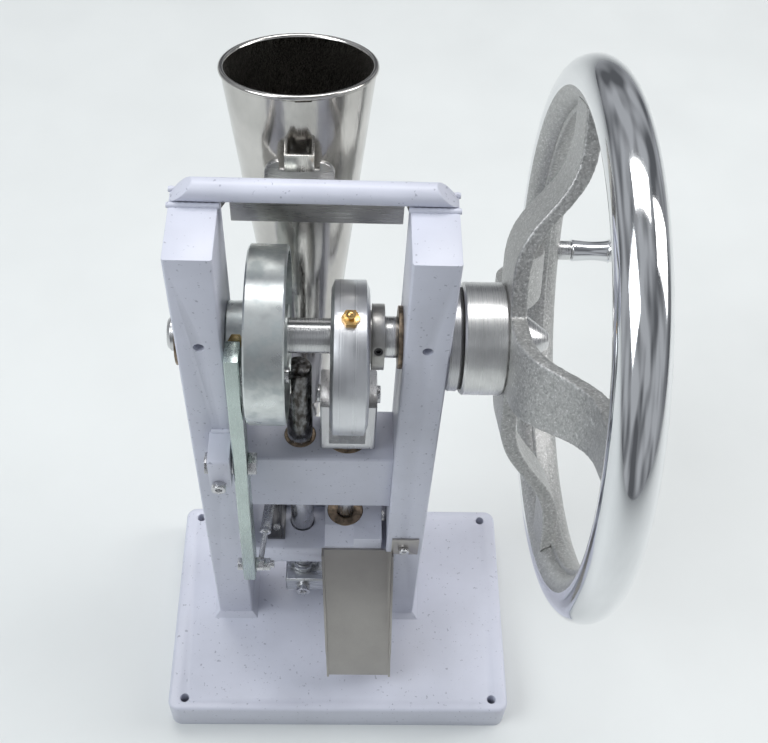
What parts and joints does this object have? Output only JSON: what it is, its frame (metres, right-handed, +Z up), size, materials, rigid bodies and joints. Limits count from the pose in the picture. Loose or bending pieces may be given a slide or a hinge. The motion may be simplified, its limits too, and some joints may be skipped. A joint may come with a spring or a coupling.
{
  "type": "tablet press",
  "caption": "Hand-cranked single-punch tablet press with a dished handwheel, eccentric ram, swinging feed shoe, leaning hopper and discharge chute on a bolt-down base plate.",
  "frame": {"origin": "centre of the base plate's underside, the face that stands on the bench", "axes": "+Z up from the bench, +X to the right towards the handwheel, +Y to the back where the hopper stands"},
  "size_m": [0.3386, 0.316, 0.5045],
  "materials": {
    "frame_paint": "smooth pale grey paint",
    "machined_steel": "turned and ground steel",
    "cam_zinc": "satin zinc with a mottle",
    "strap_steel": "smooth machined steel",
    "lever_steel": "satin bright steel",
    "stainless_sheet": "polished stainless sheet",
    "chute_sheet": "brushed stainless sheet",
    "bronze": "brown bronze",
    "brass": "bright brass",
    "chrome": "mirror chrome",
    "raw_casting": "sparkling raw casting",
    "black_fibre": "black fibre",
    "dark_steel": "dark steel",
    "fastener_steel": "bright fasteners"
  },
  "bodies": {
    "frame": {"base_plate": "frame_paint", "left_column": "frame_paint", "right_column": "frame_paint", "carry_bar": "frame_paint", "crossbeam": "frame_paint", "ram_bush": "bronze", "lift_rod_bush": "bronze", "die_table": "frame_paint", "die_block": "frame_paint", "die": "bronze", "die_lock_screw": "fastener_steel", "guide_strip": "dark_steel", "guide_strip_screws": "fastener_steel", "socket_screws": "fastener_steel", "left_bearing_bush": "bronze", "right_bearing_bush": "bronze", "bearing_flange": "machined_steel", "thrust_washer": "black_fibre", "lever_bracket": "frame_paint", "lever_pivot_bolt": "fastener_steel", "shoe_pivot_pin": "machined_steel", "hopper_bracket": "stainless_sheet", "hopper": "stainless_sheet", "hopper_spout": "stainless_sheet", "hopper_hook": "stainless_sheet", "discharge_chute": "chute_sheet", "chute_screws": "fastener_steel"},
    "crankshaft": {"main_shaft": "machined_steel", "shaft_keys": "fastener_steel", "cam_wheel": "cam_zinc", "cam_set_bolt": "fastener_steel", "eccentric_disc": "machined_steel", "shaft_spacer": "machined_steel", "shaft_grub_screws": "fastener_steel", "wheel_hub": "machined_steel", "handwheel_rim": "chrome", "handwheel_spider": "raw_casting", "cone_nut": "machined_steel", "handle_spindle": "machined_steel"},
    "crank_grip": {"handle_grip": "chrome"},
    "strap": {"eccentric_strap": "strap_steel", "grease_nipple": "brass"},
    "ram": {"ram": "machined_steel", "fork_screws": "fastener_steel", "upper_punch": "machined_steel", "punch_screw": "fastener_steel"},
    "lift": {"lift_rod": "machined_steel", "yoke": "machined_steel", "yoke_screws": "fastener_steel", "lift_nuts": "machined_steel", "lower_punch": "machined_steel"},
    "lift_roller": {"lift_roller": "machined_steel"},
    "lever": {"feed_lever": "lever_steel", "lever_roller_pin": "machined_steel", "foot_bolt": "fastener_steel"},
    "lever_roller": {"lever_roller": "machined_steel"},
    "link": {"link_rod": "machined_steel", "link_nut": "fastener_steel"},
    "shoe": {"feed_shoe": "machined_steel", "shoe_tail_pin": "machined_steel"}
  },
  "joints": [
    {"name": "shaft_turn", "type": "hinge", "parent": "frame", "child": "crankshaft", "pos_m": [0, 0.017, 0.3465], "axis": [1, 0, 0], "continuous": true},
    {"name": "grip_spin", "type": "hinge", "parent": "crankshaft", "child": "crank_grip", "pos_m": [0.182, 0.14575, 0.2809], "axis": [1, 0, 0], "continuous": true},
    {"name": "strap_turn", "type": "hinge", "parent": "crankshaft", "child": "strap", "pos_m": [0.0016, 0.00742, 0.33928], "axis": [1, 0, 0], "continuous": true},
    {"name": "ram_slide", "type": "slide", "parent": "frame", "child": "ram", "axis": [0, 0, 1], "range_m": [-0.00478, 0.01922]},
    {"name": "lift_slide", "type": "slide", "parent": "frame", "child": "lift", "axis": [0, 0, 1], "range_m": [-0.00326, 0.01302]},
    {"name": "lift_roller_spin", "type": "hinge", "parent": "lift", "child": "lift_roller", "pos_m": [-0.0364, 0.017, 0.308], "axis": [1, 0, 0], "continuous": true},
    {"name": "lever_swing", "type": "hinge", "parent": "frame", "child": "lever", "pos_m": [-0.0615, -0.02, 0.2685], "axis": [1, 0, 0], "range_deg": [-1.85, 7.2]},
    {"name": "lever_roller_spin", "type": "hinge", "parent": "lever", "child": "lever_roller", "pos_m": [-0.0515, -0.01392, 0.34576], "axis": [1, 0, 0], "continuous": true},
    {"name": "link_swing", "type": "hinge", "parent": "lever", "child": "link", "pos_m": [-0.0547, -0.02893, 0.155], "axis": [1, 0, 0], "range_deg": [-7.2, 1.85]},
    {"name": "shoe_swing", "type": "hinge", "parent": "frame", "child": "shoe", "pos_m": [-0.0245, 0.052, 0.15], "axis": [0, 0, 1], "range_deg": [-34.6, 8.7]}
  ],
  "couplings": [
    {"joint": "strap_turn", "follows": "shaft_turn", "ratio": -1},
    {"joint": "lift_slide", "follows": "ram_slide", "ratio": 0.67632},
    {"joint": "lever_swing", "follows": "ram_slide", "rad_per_m": 6.5103},
    {"joint": "link_swing", "follows": "ram_slide", "rad_per_m": -6.5103},
    {"joint": "shoe_swing", "follows": "ram_slide", "rad_per_m": -31.326}
  ]
}
